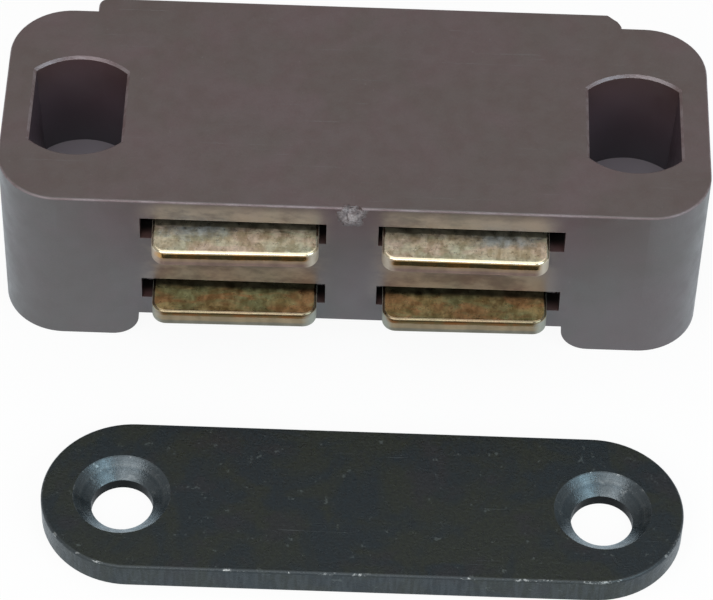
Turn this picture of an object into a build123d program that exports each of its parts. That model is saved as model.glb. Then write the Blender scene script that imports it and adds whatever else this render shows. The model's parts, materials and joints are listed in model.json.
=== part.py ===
"""Double magnetic catch: a moulded housing with two floating pole packs, and its strike plate.

All sizes are in millimetres. The origin lies on the mounting plane, midway between the two
screw axes of the housing. +X runs along the housing, +Y towards its back and +Z up, so the
poles look out along -Y and the strike plate lies in front of them on the same plane.
"""
import os

from build123d import *

# ---------------------------------------------------------------- pole packs
plate_width = 14.1
plate_thickness = 1.75
plate_reach = 3.05            # how far a plate stands out of the front face
plate_corner_radius = 1.2     # plan radius of the two front corners
plate_edge_radius = 0.3       # blanked edges, tumbled round

magnet_width = 12.4
magnet_length = 18.0
magnet_thickness = 5.85
magnet_bevel = 0.5

plate_to_magnet = 0.02        # sliding gap on each face of the magnet
seat_gap = 0.05               # pack above the cover that carries it

# Where the loose packs happen to lie: sideways shift of a pack and turn of each plate on it
pack_shift = {"left": 0.0, "right": -0.45}
plate_turn = {
    ("left", "upper"): 1.1,
    ("left", "lower"): 0.7,
    ("right", "upper"): -0.2,
    ("right", "lower"): 0.7,
}

# Room that the packs have to float in
side_play = 0.85              # each side of a centred plate
top_play = 0.7                # over a plate in its slot
front_play = 0.7              # magnet to the front wall
back_play = 1.4               # pack to the back wall

# ---------------------------------------------------------------- housing
front_wall = 2.0
back_wall = 2.0
top_wall = 2.1
end_wall = 2.45               # screw well to the end face
partition = 1.95              # pocket to screw well
centre_web = 4.4              # between the two pockets

foot_height = 2.9             # clearance under the middle of the housing
foot_inset = 0.35             # foot beyond the pocket's outer side
foot_radius = 2.4             # inner bottom corner of a foot
cover_thickness = 2.1

corner_radius = 5.3
edge_radius = 0.2
back_step = 1.6               # middle of the back stands out past the ends
back_step_margin = 5.0        # pocket's outer side to the end of that step
back_step_radius = 0.9

screw_to_front = 11.0         # screw axis to the front face
screw_hole_radius = 2.25
well_radius = 5.65
well_width = 7.9              # across the two flats
well_depth = 10.0
well_draft = 2.0              # degrees
well_rim = 0.22

boss_wall = 1.9               # plastic round the screw hole under the well
well_floor = 2.2
foot_wall = 2.9               # inner side of a foot
rib_thickness = 1.5

scar_width = 2.5              # torn where the sprue was broken off the top front edge
scar_height = 2.1
scar_depth = 0.3
stub_width = 1.3              # what is left of the sprue in the scar
stub_height = 1.3
stub_reach = 0.12

chip_width = 1.4              # broken corner at the right end of the back step
chip_depth = 1.55
chip_height = 4.2
chip_lean = 0.35              # share of its width that the break runs out by

# ---------------------------------------------------------------- cover
cover_gap = 0.08
snap_width = 7.0
snap_depth = 0.35
snap_height = 0.9
snap_gap = 0.05

# ---------------------------------------------------------------- strike plate
strike_length = 53.7
strike_width = 15.2
strike_thickness = 2.5
strike_edge_radius = 0.25
strike_burr_radius = 0.15
strike_screw_pitch = 40.2
strike_hole_radius = 2.6
countersink_radius = 4.1
countersink_angle = 90.0
strike_distance = 12.0        # housing's front face to the plate's near long edge
strike_shift = 1.6

# ---------------------------------------------------------------- places worked out from the sizes
pocket_width = plate_width + 2 * side_play
pocket_inner_x = centre_web / 2
pocket_outer_x = pocket_inner_x + pocket_width
pocket_middle_x = pocket_inner_x + pocket_width / 2
well_inner_x = pocket_outer_x + partition
screw_x = well_inner_x + well_width / 2
half_length = well_inner_x + well_width + end_wall

front_y = -screw_to_front
pocket_front_y = front_y + front_wall
magnet_front_y = pocket_front_y + front_play
magnet_middle_y = magnet_front_y + magnet_length / 2
pack_back_y = magnet_front_y + magnet_length
pocket_back_y = pack_back_y + back_play
middle_back_y = pocket_back_y + back_wall
end_back_y = middle_back_y - back_step

slot_height = plate_thickness + top_play
plate_pitch = plate_thickness + magnet_thickness + 2 * plate_to_magnet
slot_floor = {
    "lower": foot_height + cover_thickness,
    "upper": foot_height + cover_thickness + plate_pitch,
}
pocket_top = slot_floor["upper"] + slot_height
housing_height = pocket_top + top_wall
well_floor_z = housing_height - well_depth
step_x = pocket_outer_x + back_step_margin

strike_middle = Vector(strike_shift, front_y - strike_distance - strike_width / 2, 0)

sides = {"left": -1, "right": 1}
levels = ("lower", "upper")


def block(x0, x1, y0, y1, z0, z1):
    """A box between two corners."""
    size = (x1 - x0, y1 - y0, z1 - z0)
    middle = ((x0 + x1) / 2, (y0 + y1) / 2, (z0 + z1) / 2)
    return Pos(*middle) * Box(*size)


def rectangle_between(x0, x1, y0, y1):
    """A rectangle between two corners, in the plan."""
    return Pos((x0 + x1) / 2, (y0 + y1) / 2) * Rectangle(x1 - x0, y1 - y0)


# ---------------------------------------------------------------- housing
def housing_outline():
    """Plan of the housing: a rounded oblong whose back steps out behind the pockets."""
    oblong = rectangle_between(-half_length, half_length, front_y, end_back_y)
    oblong = fillet(oblong.vertices(), corner_radius)
    step = rectangle_between(-step_x, step_x, end_back_y - corner_radius, middle_back_y)
    step = fillet(step.vertices().sort_by(Axis.Y)[-2:], back_step_radius)
    return oblong + step


def housing_block():
    """The outside of the moulding, standing on a foot at each end."""
    body = extrude(housing_outline(), amount=housing_height)
    foot_x = pocket_outer_x + foot_inset
    body -= block(-foot_x, foot_x, front_y - 1, middle_back_y + 1, -1, foot_height)
    inner_edges = [
        edge for edge in body.edges().filter_by(Axis.Y)
        if abs(abs(edge.center().X) - foot_x) < 0.01 and edge.center().Z < 0.01
    ]
    body = fillet(inner_edges, foot_radius)
    top_edges = body.edges().group_by(Axis.Z)[-1]
    return fillet(top_edges, edge_radius)


def screw_well(side):
    """Counterbore for a screw head: a drafted circle cut by two flats, and the screw's hole."""
    place = Pos(side * screw_x, 0)
    profile = Circle(well_radius) & Rectangle(well_width, 2 * well_radius)
    plane = Plane.XY.offset(housing_height)
    well = extrude(plane * (place * profile), amount=-well_depth, taper=well_draft)
    hole = place * Pos(0, 0, housing_height / 2) * Cylinder(screw_hole_radius, housing_height + 2)
    return well + hole


def foot_cells(side):
    """Coring under a screw well: the space round the boss, divided by one rib."""
    inner = pocket_outer_x + foot_inset + foot_wall
    outer = half_length - end_wall
    front = front_y + front_wall
    back = end_back_y - back_wall
    plan = rectangle_between(inner, outer, front, back)
    outer_corners = plan.vertices().sort_by(Axis.X)[-2:]
    plan = fillet(outer_corners, corner_radius - front_wall)
    plan -= Pos(screw_x, 0) * Circle(screw_hole_radius + boss_wall)
    plan -= Pos(screw_x, 0) * Rectangle(rib_thickness, 2 * (back - front))
    cells = extrude(plan, amount=well_floor_z - well_floor)
    return cells if side > 0 else mirror(cells, Plane.YZ)


def pocket(side):
    """Room for one pole pack, with a slot through the front wall for each plate."""
    x0, x1 = sorted((side * pocket_inner_x, side * pocket_outer_x))
    room = block(x0, x1, pocket_front_y, pocket_back_y, foot_height, pocket_top)
    for level in levels:
        floor = slot_floor[level]
        room += block(x0, x1, front_y - 1, pocket_front_y + 1, floor, floor + slot_height)
    return room


def cover_seat():
    """Mouth that the cover is pressed into from below, across both pockets."""
    top = foot_height + cover_thickness
    seat = block(-pocket_outer_x, pocket_outer_x, pocket_front_y, pocket_back_y, foot_height, top)
    return seat + snap_ridges(snap_gap)


def snap_ridges(gap):
    """The cover's two snap ridges, grown by a gap all round for their grooves."""
    middle_y = (pocket_front_y + pocket_back_y) / 2
    middle_z = foot_height + cover_thickness / 2
    reach = pocket_outer_x + snap_depth - cover_gap + gap
    half_width = snap_width / 2 + gap
    half_height = snap_height / 2 + gap
    profile = Plane.XZ * Polygon(
        (pocket_outer_x - 1, -half_height - 0.3),
        (reach, -half_height * 0.35),
        (reach, half_height * 0.35),
        (pocket_outer_x - 1, half_height + 0.3),
        align=None,
    )
    ridge = Pos(0, middle_y, middle_z) * extrude(profile, amount=half_width, both=True)
    return ridge + mirror(ridge, Plane.YZ)


def gate_scar():
    """Shallow hollow torn out of the front wall and its top edge by the sprue."""
    half = scar_width / 2
    torn = Polygon(
        (-half, scar_depth),
        (-half * 0.62, -scar_height * 0.5),
        (-half * 0.5, -scar_height * 0.9),
        (half * 0.3, -scar_height),
        (half * 0.72, -scar_height * 0.45),
        (half, scar_depth),
        align=None,
    )
    mouth = Plane.XZ.offset(-front_y + scar_depth) * torn
    root = Plane.XZ.offset(-front_y - scar_depth) * Pos(0, scar_depth / 2) * scale(torn, 0.5)
    return Pos(0, 0, housing_height) * loft([mouth.face(), root.face()])


def gate_stub():
    """What is left of the sprue: a low lump in the scar with a lopsided broken face."""
    half_width = stub_width / 2
    half_height = stub_height / 2
    base = Plane.XZ.offset(-front_y - 2 * scar_depth) * Rectangle(stub_width, stub_height)
    broken = Polygon(
        (-half_width * 0.5, -half_height * 0.7),
        (half_width * 0.7, -half_height * 0.4),
        (half_width * 0.4, half_height * 0.9),
        (-half_width * 0.6, half_height * 0.6),
        align=None,
    )
    face = Plane.XZ.offset(-front_y + stub_reach) * broken
    middle_z = housing_height - scar_height / 2 - scar_depth / 2
    return Pos(0, 0, middle_z) * loft([base.face(), face.face()])


def step_chip():
    """Piece broken off the right corner of the back step, running out below the top."""
    corner = Polygon(
        (-chip_width, 0),
        (-chip_width * 0.5, -chip_depth * 0.42),
        (-chip_width * 0.3, -chip_depth * 0.56),
        (0, -chip_depth),
        (chip_width, -chip_depth),
        (chip_width, chip_width),
        (-chip_width, chip_width),
        align=None,
    )
    edge = Plane.XY.offset(housing_height + edge_radius) * corner
    lean = Pos(chip_width * chip_lean, chip_depth * chip_lean)
    tip = Plane.XY.offset(housing_height - chip_height) * lean * corner
    return Pos(step_x, middle_back_y) * loft([tip.face(), edge.face()])


def make_housing():
    """The one-piece moulding."""
    body = housing_block() - gate_scar() - step_chip() + gate_stub()
    for side in sides.values():
        body -= pocket(side)
        body -= foot_cells(side)
        body -= screw_well(side)
    body -= cover_seat()
    rims = [
        edge for edge in body.edges().group_by(Axis.Z)[-1]
        if abs(edge.center().X) > well_inner_x - 0.1 and abs(edge.center().Y) < well_radius + 0.1
    ]
    return chamfer(rims, well_rim)


def make_cover():
    """Flat cover that closes both pockets from below and carries the packs."""
    top = foot_height + cover_thickness
    x = pocket_outer_x - cover_gap
    plate = block(-x, x, pocket_front_y + cover_gap, pocket_back_y - cover_gap, foot_height, top)
    plate = chamfer(plate.edges().group_by(Axis.Z)[-1], snap_depth)
    return plate + snap_ridges(0)


# ---------------------------------------------------------------- pole packs
def make_magnet(side):
    """Ferrite block, with its long edges bevelled."""
    bottom = slot_floor["lower"] + seat_gap + plate_thickness + plate_to_magnet
    magnet = Box(magnet_width, magnet_length, magnet_thickness)
    magnet = chamfer(magnet.edges().filter_by(Axis.Z), magnet_bevel)
    x = sides[side] * pocket_middle_x + pack_shift[side]
    return Pos(x, magnet_middle_y, bottom + magnet_thickness / 2) * magnet


def make_plate(side, level):
    """Blanked steel plate with rounded front corners, as it lies turned on its magnet."""
    length = pack_back_y - front_y + plate_reach
    plan = Rectangle(plate_width, length)
    plan = fillet(plan.vertices().sort_by(Axis.Y)[:2], plate_corner_radius)
    plate = extrude(plan, amount=plate_thickness)
    long_edges = plate.edges().group_by(Axis.Z)[0] + plate.edges().group_by(Axis.Z)[-1]
    plate = fillet(long_edges, plate_edge_radius)
    pivot = Pos(
        sides[side] * pocket_middle_x + pack_shift[side],
        magnet_middle_y,
        slot_floor[level] + seat_gap,
    )
    from_pivot = Pos(0, pack_back_y - magnet_middle_y - length / 2, 0)
    return pivot * Rot(0, 0, plate_turn[side, level]) * from_pivot * plate


# ---------------------------------------------------------------- strike plate
def make_strike():
    """Blanked steel plate with full-round ends and two countersunk holes."""
    plan = SlotOverall(strike_length, strike_width)
    plate = extrude(plan, amount=strike_thickness)
    plate = fillet(plate.edges().group_by(Axis.Z)[-1], strike_edge_radius)
    plate = fillet(plate.edges().group_by(Axis.Z)[0], strike_burr_radius)
    top = Plane.XY.offset(strike_thickness)
    holes = CounterSinkHole(
        radius=strike_hole_radius,
        counter_sink_radius=countersink_radius,
        depth=strike_thickness,
        counter_sink_angle=countersink_angle,
    )
    for side in sides.values():
        plate -= top * Pos(side * strike_screw_pitch / 2, 0) * holes
    return Pos(strike_middle) * plate


# ---------------------------------------------------------------- files
nodes = {
    "housing": make_housing(),
    "base_cover": make_cover(),
    "strike_plate": make_strike(),
}
for side_name in sides:
    nodes[f"{side_name}_magnet"] = make_magnet(side_name)
    for level_name in levels:
        nodes[f"{side_name}_{level_name}_pole_plate"] = make_plate(side_name, level_name)

os.makedirs("parts", exist_ok=True)
for node_name, shape in nodes.items():
    export_step(shape, f"parts/{node_name}.step")
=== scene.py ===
"""Looks of the double magnetic catch: finishes, marks of moulding and wear, light and camera.

Metres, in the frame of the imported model: the origin lies on the mounting plane midway between the
housing's screw axes, +X along the housing, +Y to its back, +Z up. Textures work in millimetres.
"""
import json
from math import radians

import bpy
from mathutils import Matrix, Vector

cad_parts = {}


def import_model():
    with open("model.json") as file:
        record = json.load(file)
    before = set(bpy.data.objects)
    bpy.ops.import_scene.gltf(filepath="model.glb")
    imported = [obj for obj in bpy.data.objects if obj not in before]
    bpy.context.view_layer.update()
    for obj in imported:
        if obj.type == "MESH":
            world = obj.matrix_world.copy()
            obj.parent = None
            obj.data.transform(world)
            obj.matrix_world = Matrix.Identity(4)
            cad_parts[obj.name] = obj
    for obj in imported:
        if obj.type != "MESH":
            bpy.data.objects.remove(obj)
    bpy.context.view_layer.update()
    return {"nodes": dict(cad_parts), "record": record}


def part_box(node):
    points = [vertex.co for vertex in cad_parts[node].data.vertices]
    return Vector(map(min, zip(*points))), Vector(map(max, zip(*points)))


MM = 0.001

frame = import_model()
nodes = frame["nodes"]

# ---------------------------------------------------------------- places on the model, in millimetres
mounts = {mount["name"]: mount for mount in frame["record"]["mounts"]}
housing_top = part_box("housing")[1].z / MM
front_face = -11.0  # the torn gate stands out from it, so the housing's box doesn't give it
gate_place = (-0.1, front_face, housing_top - 0.9)
well_radius = 5.6
pocket_back = 10.0
pocket_end = 18.8
pocket_floor = 2.0
pocket_roof = 15.3
hole_radius = 2.6
cone_radius = 4.05
packs = []
for side in ("left", "right"):
    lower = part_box(side + "_lower_pole_plate")
    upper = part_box(side + "_upper_pole_plate")
    packs.append((lower[0] / MM, upper[1] / MM))


# ---------------------------------------------------------------- node helpers
class Nodes:
    """Short calls that add nodes to one material's tree and link them. Materials call it n."""

    def __init__(self, name):
        self.material = bpy.data.materials.new(name)
        self.material.use_nodes = True
        self.tree = self.material.node_tree
        self.tree.nodes.clear()

    def add(self, kind, inputs=None, **settings):
        node = self.tree.nodes.new(kind)
        for key, value in settings.items():
            setattr(node, key, value)
        for key, value in (inputs or {}).items():
            self.put(node.inputs[key], value)
        return node

    def put(self, socket, value):
        if isinstance(value, bpy.types.NodeSocket):
            self.tree.links.new(value, socket)
        else:
            socket.default_value = value

    def place(self):
        """Place on the piece, in millimetres."""
        coords = self.add("ShaderNodeTexCoord").outputs["Object"]
        return self.add("ShaderNodeVectorMath", {0: coords, 3: 1 / MM}, operation="SCALE").outputs[0]

    def mapped(self, vector, scale=(1, 1, 1), turn=0.0, shift=(0, 0, 0)):
        inputs = {"Vector": vector, "Scale": scale, "Rotation": (0, 0, radians(turn)), "Location": shift}
        return self.add("ShaderNodeMapping", inputs).outputs[0]

    def noise(self, vector, scale, detail=3.0, roughness=0.55, distortion=0.0):
        inputs = {"Vector": vector, "Scale": scale, "Detail": detail, "Roughness": roughness}
        inputs["Distortion"] = distortion
        return self.add("ShaderNodeTexNoise", inputs).outputs["Fac"]

    def math(self, operation, a, b=0.0, clamp=False):
        return self.add("ShaderNodeMath", {0: a, 1: b}, operation=operation, use_clamp=clamp).outputs[0]

    def range(self, value, low, high, to_low=0.0, to_high=1.0):
        inputs = {"Value": value, "From Min": low, "From Max": high, "To Min": to_low, "To Max": to_high}
        return self.add("ShaderNodeMapRange", inputs, interpolation_type="SMOOTHSTEP").outputs[0]

    def mix(self, factor, a, b, blend="MIX"):
        node = self.add("ShaderNodeMix", data_type="RGBA", blend_type=blend)
        self.put(node.inputs[0], factor)
        self.put(node.inputs[6], a)
        self.put(node.inputs[7], b)
        return node.outputs[2]

    def axes(self, vector):
        return self.add("ShaderNodeSeparateXYZ", {0: vector}).outputs

    def normal(self):
        """Parts X, Y and Z of the surface's direction."""
        return self.axes(self.add("ShaderNodeNewGeometry").outputs["Normal"])

    def times(self, *values):
        total = values[0]
        for value in values[1:]:
            total = self.math("MULTIPLY", total, value)
        return total

    def band(self, value, low, high, soft):
        """1 between low and high, fading to 0 over soft on either side."""
        up = self.range(value, low - soft, low + soft)
        down = self.range(value, high - soft, high + soft, 1.0, 0.0)
        return self.times(up, down)

    def jitter(self, value, pattern, reach):
        """The value moved by up to reach either way, as the pattern goes from 0 to 1."""
        return self.math("ADD", value, self.range(pattern, 0.0, 1.0, -reach, reach))

    def mottled(self, colour, factor, dark, pale):
        """The colour multiplied by dark to pale."""
        return self.mix(1.0, colour, self.mix(factor, dark, pale), "MULTIPLY")

    def scratches(self, at, turns, seed, scale, low, high):
        """Thin straight marks in the directions given by turns, broken up along their length."""
        marks = 0.0
        for turn in turns:
            shift = (turn, seed, 0)
            lines = self.noise(self.mapped(at, scale, turn, shift), 1.0, 2.0)
            breaks = self.noise(self.mapped(at, shift=shift), 0.22, 2.0)
            broken = self.times(self.range(lines, low, high), self.range(breaks, 0.5, 0.6))
            marks = self.math("MAXIMUM", marks, broken)
        return marks

    def distance(self, at, centre, scale=(1, 1, 1)):
        away = self.add("ShaderNodeVectorMath", {0: at, 1: centre}, operation="SUBTRACT").outputs[0]
        away = self.add("ShaderNodeVectorMath", {0: away, 1: scale}, operation="MULTIPLY").outputs[0]
        return self.add("ShaderNodeVectorMath", {0: away}, operation="LENGTH").outputs["Value"]

    def bump(self, height, distance, strength=1.0, normal=None):
        inputs = {"Height": height, "Distance": distance * MM, "Strength": strength}
        if normal is not None:
            inputs["Normal"] = normal
        return self.add("ShaderNodeBump", inputs).outputs[0]

    def finish(self, inputs):
        shader = self.add("ShaderNodeBsdfPrincipled", inputs)
        output = self.add("ShaderNodeOutputMaterial")
        self.tree.links.new(shader.outputs[0], output.inputs[0])
        return self.material


def grey(value):
    return (value, value, value, 1.0)


def rgb(red, green, blue):
    return (red, green, blue, 1.0)


# ---------------------------------------------------------------- the housing's plastic
def from_screw(n, at, mount):
    """Distance, seen from above, to the nearer screw axis of a mount that has two."""
    middle = Vector(mounts[mount]["pos_m"]) / MM
    half = mounts[mount]["dims"]["spacing_x_mm"] / 2
    away = [n.distance(at, middle + Vector((side * half, 0, 0)), (1, 1, 0)) for side in (-1, 1)]
    return n.math("MINIMUM", away[0], away[1])


def flow_clouds(n, at):
    """Colour of clean plastic: faint clouds from the moulding, and grain."""
    clouds = n.noise(at, 0.10, 4.0, 0.6, 0.6)
    patches = n.noise(n.mapped(at, shift=(31, 7, 3)), 0.16, 3.0)
    grain = n.range(n.noise(at, 7.0, 3.0, 0.7), 0.3, 0.7)
    colour = n.mix(n.range(clouds, 0.38, 0.62), rgb(0.085, 0.047, 0.041), rgb(0.096, 0.050, 0.049))
    colour = n.mix(n.range(patches, 0.5, 0.68, 0.0, 0.5), colour, rgb(0.083, 0.050, 0.043))
    return n.mottled(colour, grain, grey(0.93), grey(1.07))


def plate_painted_reflection(n, at):
    """Painted warm reflection of the plates on the wall round their slots, 0 to about 0.8."""
    place = n.axes(at)
    film = 0.0
    for low, high in packs:
        across = n.band(place["X"], low.x, high.x, 1.6)
        upright = n.band(place["Z"], low.z + 1.0, high.z + 2.2, 0.7)
        film = n.math("MAXIMUM", film, n.times(across, upright))
    uneven = n.noise(n.mapped(at, (0.5, 1, 1), shift=(6, 0, 2)), 0.5, 4.0, 0.65)
    return n.times(film, n.range(uneven, 0.35, 0.62, 0.1, 0.85))


def well_painted_shade_and_light(n, at, nz, colour):
    """Screw wells: walls darkened to purple as painted shade, floors paled as painted light."""
    away = from_screw(n, at, "housing_screws")
    inside = n.range(away, well_radius - 0.2, well_radius + 0.2, 1.0, 0.0)
    inside = n.times(inside, n.range(n.axes(at)["Z"], housing_top - 0.4, housing_top - 0.2, 1.0, 0.0))
    # Painted shade on the well walls.
    colour = n.mix(n.times(inside, n.range(nz, 0.3, 0.6, 0.8, 0.0)), colour, rgb(0.070, 0.044, 0.058))
    # Painted light on the well floors.
    return n.mix(n.times(inside, n.range(nz, 0.8, 0.95, 0.0, 0.85)), colour, rgb(0.34, 0.29, 0.33))


def pocket_painted_shade(n, at):
    """Painted shade in the pockets behind the slots: near black, 0 at their mouths to 1 inside."""
    x, y, z = n.axes(at)
    deep = n.range(y, front_face + 0.3, front_face + 1.4)
    before = n.range(y, pocket_back - 0.1, pocket_back + 0.1, 1.0, 0.0)
    across = n.range(n.math("ABSOLUTE", x), pocket_end - 0.2, pocket_end + 0.2, 1.0, 0.0)
    return n.times(deep, before, across, n.band(z, pocket_floor, pocket_roof, 0.1))


def torn_gate(n, at):
    """Where the gate was torn off, 0 to 1, and the chalky colour there."""
    ragged = n.times(n.noise(at, 1.1, 3.0, 0.7), 1.8)
    torn = n.math("ADD", n.distance(at, gate_place, (0.8, 1.3, 0.75)), ragged)
    torn = n.range(torn, 1.45, 1.9, 1.0, 0.0)
    chalk = n.range(n.noise(at, 2.2, 2.0, 0.6), 0.40, 0.60)
    return torn, n.mix(chalk, rgb(0.16, 0.135, 0.135), rgb(0.38, 0.34, 0.34))


def moulded_plastic(name):
    """Brown-mauve moulded plastic: clouds, scuffs, dust, rubbed edges and a torn gate, with painted
    reflection of the plates round the slots, painted shade and light in the screw wells and painted
    shade in the pockets.
    """
    n = Nodes(name)
    at = n.place()
    normal = n.normal()
    ny = normal["Y"]
    nz = normal["Z"]
    colour = flow_clouds(n, at)

    scratch = n.scratches(at, (12, -35, 74), 5, (0.05, 4.5, 1.0), 0.70, 0.74)
    scratch = n.times(scratch, n.range(nz, 0.9, 0.99))
    colour = n.mix(n.times(scratch, 0.07), colour, rgb(0.24, 0.21, 0.21))
    dust = n.range(n.noise(n.mapped(at, shift=(3, 9, 1)), 2.6, 2.0), 0.72, 0.78)
    colour = n.mix(n.times(dust, 0.12), colour, rgb(0.28, 0.27, 0.26))

    rim = n.band(nz, 0.25, 0.93, 0.08)
    rub = n.range(n.noise(n.mapped(at, (0.4, 1, 1)), 0.9, 4.0, 0.7), 0.38, 0.62, 0.3, 1.0)
    colour = n.mix(n.times(rim, rub, 0.5), colour, rgb(0.26, 0.23, 0.24))

    # Painted reflection: the front wall round the slots is paled warm where the plates would reflect
    # onto it; film holds that mask.
    film = n.times(plate_painted_reflection(n, at), n.range(ny, -0.95, -0.8, 1.0, 0.0))
    colour = n.mix(film, colour, rgb(0.28, 0.205, 0.155))
    # Painted shade on the well walls and painted light on the well floors.
    colour = well_painted_shade_and_light(n, at, nz, colour)
    # Painted shade: the pockets behind the slots turn near black.
    colour = n.mix(pocket_painted_shade(n, at), colour, rgb(0.012, 0.009, 0.009))
    torn, chalk = torn_gate(n, at)
    colour = n.mix(torn, colour, chalk)

    rough = n.range(n.noise(at, 0.6, 4.0, 0.6), 0.3, 0.7, 0.30, 0.42)
    rough = n.math("ADD", rough, n.times(torn, 0.35), clamp=True)
    tint = n.mix(n.math("MAXIMUM", rim, torn), rgb(0.70, 0.97, 1.0), rgb(0.92, 0.85, 0.90))
    relief = n.bump(n.noise(at, 9.0, 2.0, 0.6), 0.008)
    relief = n.bump(n.noise(at, 0.35, 2.0), 0.02, 0.6, relief)
    relief = n.bump(scratch, -0.01, 1.0, relief)
    relief = n.bump(n.times(torn, n.noise(at, 3.0, 3.0, 0.7)), 0.35, 1.0, relief)
    return n.finish({
        "Base Color": colour,
        "Roughness": rough,
        "Normal": relief,
        "IOR": 1.85,
        "Specular Tint": tint,
    })


# ---------------------------------------------------------------- the pole plates' zinc
def zinc_film(n, place, at, look, low, high):
    """Colour of a plate's broad faces: streaky film, stains, a bluish patch, blots, and a painted shadow
    where the plate goes into its slot.
    """
    middle = (low.x + high.x) / 2
    half = (high.x - low.x) / 2
    outward = 1.0 if middle > 0 else -1.0
    first = n.noise(n.mapped(at, (0.45, 1, 1)), 0.45, 3.0, 0.6, 0.5)
    second = n.noise(n.mapped(at, (0.45, 1, 1), shift=(17, 3, 9)), 0.6, 3.0, 0.6, 0.5)
    colour = n.mix(n.range(first, 0.40, 0.60), look["film"][0], look["film"][1])
    colour = n.mix(n.range(second, 0.46, 0.62), colour, look["film"][2])
    stain = n.range(n.noise(n.mapped(at, (0.5, 1, 1), shift=(9, 2, 31)), 0.9, 4.0, 0.65), 0.50, 0.70)
    colour = n.mix(n.times(stain, look["stains"]), colour, look["stain"])

    patch = (middle + outward * 0.45 * half, front_face - 0.5, high.z)
    blue = n.jitter(n.distance(place, patch, (0.22, 0.7, 0)), n.noise(at, 1.0, 3.0), 0.4)
    colour = n.mix(n.range(blue, 0.2, 0.9, look["sheen"], 0.0), colour, rgb(0.38, 0.43, 0.46))
    blots = n.range(n.noise(n.mapped(at, (1.0, 0.6, 1)), 1.3, 3.0, 0.65), 0.38, 0.62)
    colour = n.mottled(colour, blots, rgb(0.72, 0.66, 0.56), grey(1.16))
    specks = n.range(n.noise(at, 4.0, 2.0, 0.6), 0.35, 0.65)
    colour = n.mottled(colour, specks, grey(0.90), grey(1.10))
    # Painted shadow of the slot's top edge, darkening the plate where it goes into the slot.
    root = n.jitter(n.axes(place)["Y"], n.noise(at, 1.3, 2.0), 0.1)
    root = n.range(root, front_face - look["root"], front_face)
    return n.mix(n.times(root, 0.9), colour, rgb(0.035, 0.030, 0.015))


def cut_face(n, place, at, look, low, high):
    """A plate's blanked sides: colour of the dull break (paled near the plate's ends as painted
    reflection), of the burnished band, and how burnished.
    """
    middle = (low.x + high.x) / 2
    half = (high.x - low.x) / 2
    x, _, z = n.axes(place)
    corner = n.math("ABSOLUTE", n.math("SUBTRACT", x, middle))
    corner = n.range(n.jitter(corner, n.noise(at, 0.8, 2.0), 0.3), half - 1.3, half - 0.5)
    upright = n.mapped(at, (1, 1, 0))
    wavy = n.jitter(n.math("SUBTRACT", z, low.z), n.noise(upright, 0.25, 2.0), 0.06)
    hue = n.range(n.noise(upright, 0.5, 3.0), 0.4, 0.6)
    broken = n.mix(n.range(wavy, 0.45, 0.75), look["break"][0], look["break"][1])
    broken = n.mottled(broken, hue, grey(0.9), grey(1.1))
    # Painted reflection: the sides pale towards the corner colour near the plate's ends.
    broken = n.mix(corner, broken, look["corner"])
    polished = n.mix(hue, look["burnish"][0], look["burnish"][1])
    burnish = n.range(wavy, look["burnished"] - 0.1, look["burnished"] + 0.1)
    return broken, polished, n.times(burnish, n.math("SUBTRACT", 1.0, corner))


def yellow_zinc(name, node, seed, look):
    """Chromated zinc on a blanked plate: film on the broad faces, cut sides and a bright top edge; on
    the lower plates the edge and burnished band are darkened as painted shade.
    """
    n = Nodes(name)
    low, high = (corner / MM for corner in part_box(node))
    place = n.place()
    at = n.mapped(place, shift=(seed, 2 * seed, 0))
    nz = n.normal()["Z"]
    height = n.math("SUBTRACT", n.axes(place)["Z"], low.z)
    side = n.range(nz, 0.25, 0.55, 1.0, 0.0)
    edge = n.times(n.band(nz, 0.45, 0.97, 0.06), n.range(height, 0.8, 1.0))
    broken, polished, burnish = cut_face(n, place, at, look, low, high)
    burnish = n.times(side, burnish)
    colour = n.mix(side, zinc_film(n, place, at, look, low, high), broken)
    colour = n.mix(burnish, colour, polished)
    # The lower plates' darker edge colour is painted shade.
    colour = n.mix(n.times(edge, 0.85), colour, look["edge"])

    metallic = n.range(n.noise(at, 1.2, 3.0), 0.3, 0.7, 0.6, 0.85)
    shine = n.math("MAXIMUM", n.times(edge, 0.5), n.times(burnish, 0.4))
    metallic = n.math("ADD", metallic, shine, clamp=True)
    rough = n.range(n.noise(at, 2.0, 4.0, 0.7), 0.3, 0.7, 0.28, 0.42)
    rough = n.math("SUBTRACT", rough, n.math("MAXIMUM", n.times(edge, 0.14), n.times(burnish, 0.22)))
    rough = n.math("ADD", rough, n.times(side, n.math("SUBTRACT", 0.25, n.times(burnish, 0.25))))
    lines = n.noise(n.mapped(at, (0.3, 7.0, 7.0)), 1.0, 3.0, 0.6)
    flat = n.range(nz, 0.9, 1.0, 0.1, 1.0)
    relief = n.bump(n.times(n.noise(at, 2.5, 2.0, 0.6), flat), 0.015)
    relief = n.bump(n.times(lines, flat), 0.015, 0.7, relief)
    return n.finish({"Base Color": colour, "Metallic": metallic, "Roughness": rough, "Normal": relief})


# ---------------------------------------------------------------- the strike plate and the magnets
def black_oxide(n, at):
    """Colour of the oiled oxide: bluish to olive clouds, purplish patches, grain."""
    clouds = n.range(n.noise(at, 0.16, 5.0, 0.62, 0.5), 0.42, 0.58)
    patches = n.noise(n.mapped(at, shift=(13, 8, 2)), 0.22, 3.0, 0.6)
    grain = n.noise(n.mapped(at, (1.4, 0.8, 1)), 2.4, 4.0, 0.7)
    colour = n.mix(clouds, rgb(0.0020, 0.0055, 0.0080), rgb(0.0072, 0.0085, 0.0034))
    colour = n.mix(n.range(patches, 0.54, 0.66, 0.0, 0.7), colour, rgb(0.0080, 0.0065, 0.0082))
    return n.mottled(colour, n.range(grain, 0.35, 0.65), grey(0.62), grey(1.4))


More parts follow.
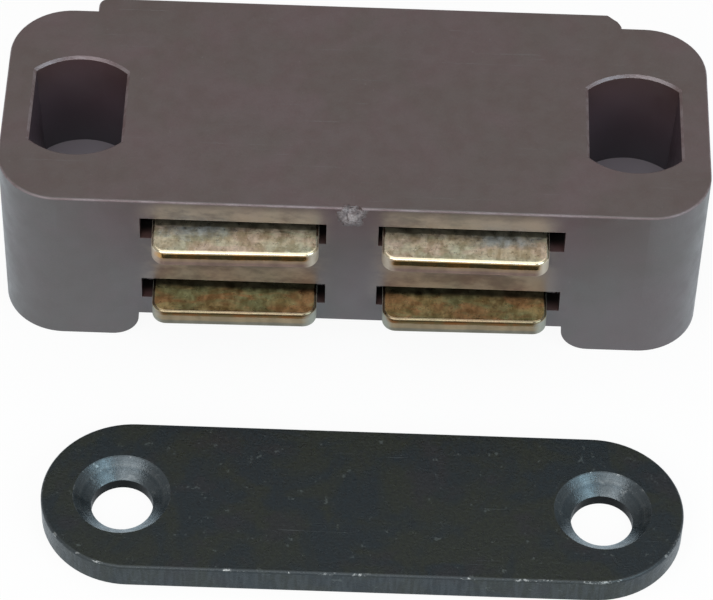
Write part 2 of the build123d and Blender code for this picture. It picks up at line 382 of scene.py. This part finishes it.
def turned_cone(n, at, away, nz):
    """The countersinks: where they are, 0 to 1, how bare, their turned rings and their colour."""
    cone = n.range(away, cone_radius - 0.1, cone_radius + 0.1, 1.0, 0.0)
    cone = n.times(cone, n.band(nz, 0.5, 0.85, 0.1))
    rings = n.noise(n.add("ShaderNodeCombineXYZ", {0: n.times(away, 3.2)}).outputs[0], 1.0, 2.0, 0.6)
    broken = n.noise(n.mapped(at, (1, 1, 0.2)), 0.8, 3.0)
    bare = n.times(cone, n.range(broken, 0.3, 0.7, 0.6, 1.0))
    bright = n.mix(n.range(rings, 0.3, 0.7), rgb(0.076, 0.094, 0.106), rgb(0.120, 0.138, 0.148))
    return cone, bare, rings, bright


def blackened_steel():
    """Oiled black oxide on a punched and turned strike: specks, scratches, worn edges, turned cones, and
    painted shade in the screw bores.
    """
    n = Nodes("blackened_steel")
    at = n.place()
    nz = n.normal()["Z"]
    colour = black_oxide(n, at)

    scratch = n.scratches(at, (-84, -22, 62), 11, (0.08, 3.6, 1), 0.72, 0.76)
    scratch = n.times(scratch, n.range(nz, 0.95, 0.99))
    colour = n.mix(n.times(scratch, 0.25), colour, rgb(0.10, 0.11, 0.11))
    speck = n.range(n.noise(n.mapped(at, shift=(2, 4, 8)), 1.1, 3.0, 0.7), 0.63, 0.72)
    colour = n.mix(n.times(speck, 0.35), colour, rgb(0.12, 0.14, 0.135))

    edge = n.band(nz, 0.3, 0.95, 0.05)
    wear = n.times(edge, n.range(n.noise(n.mapped(at, (0.6, 1, 1)), 1.3, 4.0, 0.75), 0.57, 0.65))
    colour = n.mix(n.times(edge, 0.5), colour, rgb(0.055, 0.062, 0.068))
    colour = n.mix(n.times(wear, 0.75), colour, rgb(0.42, 0.44, 0.44))
    side = n.range(nz, 0.05, 0.25, 1.0, 0.0)
    shear = n.noise(n.mapped(at, (2.0, 2.0, 0.25)), 1.6, 3.0)
    colour = n.mix(n.times(side, n.range(shear, 0.4, 0.65, 0.0, 0.4)), colour, rgb(0.04, 0.048, 0.055))

    away = from_screw(n, at, "strike_screws")
    cone, bare, rings, bright = turned_cone(n, at, away, nz)
    # Painted shade: the bores' walls near black, with their reflection turned down.
    bore_painted_shade = n.times(n.range(away, hole_radius + 0.15, hole_radius + 0.3, 1.0, 0.0), side)
    colour = n.mix(bare, colour, bright)
    colour = n.mix(bore_painted_shade, colour, grey(0.004))

    rough = n.range(n.noise(at, 1.3, 4.0, 0.7), 0.3, 0.7, 0.26, 0.38)
    relief = n.bump(n.noise(at, 4.0, 4.0, 0.7), 0.03)
    relief = n.bump(scratch, -0.02, 1.0, relief)
    relief = n.bump(n.times(cone, rings), 0.012, 0.8, relief)
    return n.finish({
        "Base Color": colour,
        "Metallic": n.math("MAXIMUM", n.times(bare, 0.9), n.times(wear, 0.9)),
        "Roughness": n.math("SUBTRACT", rough, n.times(cone, 0.04)),
        "Normal": relief,
        "Specular IOR Level": n.math("SUBTRACT", 0.5, n.times(bore_painted_shade, 0.42)),
        "Specular Tint": rgb(0.85, 0.95, 1.0),
    })


def ferrite():
    """Sintered charcoal-grey ferrite: sandy grain and pale chips at its bevels."""
    n = Nodes("ferrite")
    at = n.place()
    nz = n.normal()["Z"]
    grain = n.noise(at, 6.0, 4.0, 0.75)
    colour = n.mix(n.range(grain, 0.35, 0.65), rgb(0.022, 0.022, 0.024), rgb(0.055, 0.055, 0.058))
    chips = n.times(n.band(nz, 0.3, 0.9, 0.1), n.range(n.noise(at, 1.5, 4.0, 0.7), 0.5, 0.6))
    colour = n.mix(chips, colour, rgb(0.12, 0.12, 0.125))
    rough = n.range(n.noise(at, 1.2, 3.0), 0.3, 0.7, 0.5, 0.7)
    return n.finish({"Base Color": colour, "Roughness": rough, "Normal": n.bump(grain, 0.05)})


# ---------------------------------------------------------------- finishes of the model's nodes
# Each plate's look: "sheen" is the strength of its bluish patch, "stains" of its stains, "burnished" the
# height at which its burnished band starts, and the slot-shadow entry how far its painted shadow under
# the slot's top edge reaches out of the slot.
plate_looks = {
    "upper": {
        "film": (rgb(0.60, 0.50, 0.36), rgb(0.50, 0.50, 0.37), rgb(0.62, 0.48, 0.38)),
        "sheen": 0.9,
        "stain": rgb(0.24, 0.15, 0.07),
        "stains": 0.35,
        "root": 0.2,
        "burnished": 0.95,
        "burnish": (rgb(0.40, 0.28, 0.12), rgb(0.62, 0.31, 0.09)),
        "break": (rgb(0.30, 0.20, 0.16), rgb(0.38, 0.26, 0.17)),
        # pale painted reflection on the sides near the plate's ends
        "corner": rgb(0.60, 0.52, 0.42),
        "edge": rgb(0.92, 0.82, 0.60),
    },
    "lower": {
        "film": (rgb(0.64, 0.47, 0.21), rgb(0.46, 0.45, 0.22), rgb(0.62, 0.34, 0.15)),
        "sheen": 0.0,
        "stain": rgb(0.28, 0.13, 0.04),
        "stains": 0.5,
        "root": 0.45,
        "burnished": 1.2,
        # painted shade: the lower plates' burnished band and top edge are much darker than the upper
        # plates', as the upper plates shade them
        "burnish": (rgb(0.12, 0.08, 0.03), rgb(0.18, 0.07, 0.02)),
        "break": (rgb(0.24, 0.22, 0.17), rgb(0.38, 0.29, 0.18)),
        # pale painted reflection on the sides near the plate's ends
        "corner": rgb(0.40, 0.40, 0.34),
        "edge": rgb(0.25, 0.21, 0.15),
    },
}


def finishes():
    """The finish of each node of the model, by the node's name."""
    found = {
        "housing": moulded_plastic("housing_plastic"),
        "base_cover": moulded_plastic("cover_plastic"),
        "strike_plate": blackened_steel(),
    }
    magnet_finish = ferrite()
    for number, side in enumerate(("left", "right")):
        found[side + "_magnet"] = magnet_finish
        for level, look in plate_looks.items():
            plate = side + "_" + level
            node = plate + "_pole_plate"
            found[node] = yellow_zinc(plate + "_zinc", node, 40.0 * number, look)
    return found


for node, finish in finishes().items():
    mesh = nodes[node].data
    mesh.materials.clear()
    mesh.materials.append(finish)


# ---------------------------------------------------------------- floor, light, camera
def floor():
    """White paper that keeps the soft shadows, and that camera and reflections see near white."""
    paper_share = 0.07
    bpy.ops.mesh.primitive_plane_add(size=3.0)
    sheet = bpy.context.object
    sheet.name = "floor"
    n = Nodes("white_paper")
    path = n.add("ShaderNodeLightPath").outputs
    seen = n.math("MAXIMUM", path["Is Camera Ray"], path["Is Glossy Ray"])
    seen = n.math("MAXIMUM", seen, path["Is Transmission Ray"])
    paper = n.add("ShaderNodeBsdfDiffuse", {"Color": grey(0.88)})
    tint = n.mix(path["Is Glossy Ray"], grey(1.0), rgb(0.86, 0.94, 1.0))
    white = n.add("ShaderNodeEmission", {"Color": tint, "Strength": 1.0})
    seen = n.times(seen, 1.0 - paper_share)
    both = n.add("ShaderNodeMixShader", {0: seen, 1: paper.outputs[0], 2: white.outputs[0]})
    output = n.add("ShaderNodeOutputMaterial")
    n.tree.links.new(both.outputs[0], output.inputs[0])
    sheet.data.materials.append(n.material)


def lamp(name, place, target, size, watts, colour=(1.0, 1.0, 1.0)):
    """Rectangular lamp that faces its target."""
    data = bpy.data.lights.new(name, "AREA")
    data.shape = "RECTANGLE"
    data.size, data.size_y = size
    data.energy = watts
    data.color = colour
    thing = bpy.data.objects.new(name, data)
    thing.location = place
    thing.rotation_euler = (Vector(target) - Vector(place)).to_track_quat("-Z", "Y").to_euler()
    bpy.context.scene.collection.objects.link(thing)


def world():
    """Even, slightly warm light from all round."""
    sky = bpy.data.worlds.new("studio")
    sky.use_nodes = True
    background = sky.node_tree.nodes["Background"].inputs
    background["Color"].default_value = rgb(0.97, 0.96, 0.95)
    background["Strength"].default_value = 0.38
    bpy.context.scene.world = sky


def camera():
    """Long lens in front of the part and above it, tipped a little so that its right end sits lower."""
    data = bpy.data.cameras.new("camera")
    data.sensor_width = 36.0
    data.lens = 186.87
    data.clip_start = 0.01
    thing = bpy.data.objects.new("camera", data)
    bpy.context.scene.collection.objects.link(thing)
    eye = Vector((1.233, -219.464, 247.392)) * MM
    ahead = Vector((-0.0022214, 0.6528339, -0.7574978))
    right = Vector((0.9994235, 0.0271112, 0.0204343))
    up = right.cross(ahead)
    turn = Matrix((right, up, -ahead)).transposed()
    thing.matrix_world = Matrix.Translation(eye) @ turn.to_4x4()
    bpy.context.scene.camera = thing


floor()
world()
camera()
aim = (0, 0, 0.01)
cool = (0.68, 0.90, 1.0)
lamp("overhead", place=(0.0, 0.0, 0.80), target=(0, 0, 0), size=(0.90, 0.90), watts=2.75)
lamp("front", place=(-0.16, -0.46, 0.38), target=aim, size=(0.52, 0.30), watts=1.25)
lamp("right_front", place=(0.36, -0.33, 0.33), target=aim, size=(0.36, 0.30), watts=1.05, colour=cool)
bpy.context.scene.view_settings.view_transform = "Standard"
